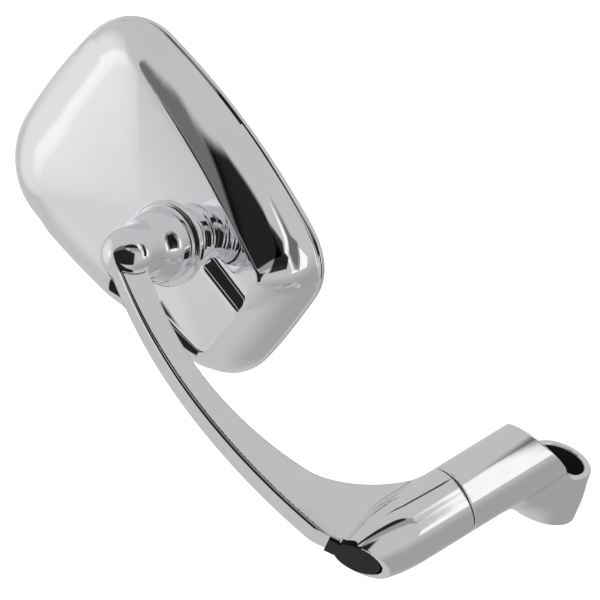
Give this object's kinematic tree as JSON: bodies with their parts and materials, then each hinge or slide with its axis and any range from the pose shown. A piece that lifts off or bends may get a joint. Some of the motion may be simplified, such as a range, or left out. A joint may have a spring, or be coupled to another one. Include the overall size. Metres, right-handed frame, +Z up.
{
  "type": "motorcycle mirror",
  "caption": "Right-hand motorcycle mirror: wedge-backed chromed head on a ball joint, carried by a curved cast arm that folds about a slanted barrel above a vertical mounting eye.",
  "frame": {"origin": "centre of the fixing bolt's hole on the foot face of the mounting eye", "axes": "+Z up the fixing bolt, towards its head; +Y forward on the motorcycle, away from the rider; +X outboard, to the right"},
  "size_m": [0.2474, 0.136, 0.1042],
  "materials": {
    "chrome_plate": "polished chrome plate",
    "head_chrome": "polished chrome plate on a pressed shell",
    "mirror_glass": "convex first-quality mirror glass",
    "black_rubber": "moulded black rubber",
    "black_plastic": "moulded black plastic",
    "nylon": "natural nylon",
    "steel": "zinc-plated steel",
    "spring_steel": "phosphated spring steel",
    "foam": "closed-cell foam tape"
  },
  "bodies": {
    "base": {"base_casting": "chrome_plate", "pivot_stud": "steel", "thrust_washer": "nylon", "friction_washer": "steel", "disc_springs": "spring_steel", "lock_nut": "steel"},
    "arm": {"arm_casting": "chrome_plate", "end_plug": "black_plastic", "ball_stud": "steel"},
    "joint_front": {"front_cup": "nylon"},
    "joint_rear": {"rear_cup": "nylon"},
    "head": {"neck_sleeve": "chrome_plate", "spring_seat": "steel", "preload_spring": "spring_steel", "preload_nut": "steel", "neck_nut": "steel", "head_housing": "head_chrome", "glass_carrier": "black_plastic", "carrier_screws": "steel", "foam_pad": "foam", "mirror_glass": "mirror_glass", "rim_seal": "black_rubber"}
  },
  "joints": [
    {"name": "arm_fold", "type": "hinge", "parent": "base", "child": "arm", "pos_m": [0, 0.04985, 0.01017], "axis": [0, 0.8886, -0.4587], "range_deg": [-40, 40]},
    {"name": "head_pan", "type": "hinge", "parent": "arm", "child": "joint_front", "pos_m": [0.13824, 0.0798, 0.03324], "axis": [-0.2221, -0.1054, 0.9693], "range_deg": [-10, 10]},
    {"name": "head_tilt", "type": "hinge", "parent": "joint_front", "child": "joint_rear", "pos_m": [0.13824, 0.0798, 0.03324], "axis": [0.9554, 0.1748, 0.238], "range_deg": [-10, 10]},
    {"name": "head_spin", "type": "hinge", "parent": "joint_rear", "child": "head", "pos_m": [0.13824, 0.0798, 0.03324], "axis": [-0.1945, 0.9789, 0.0619], "range_deg": [-20, 20]}
  ]
}
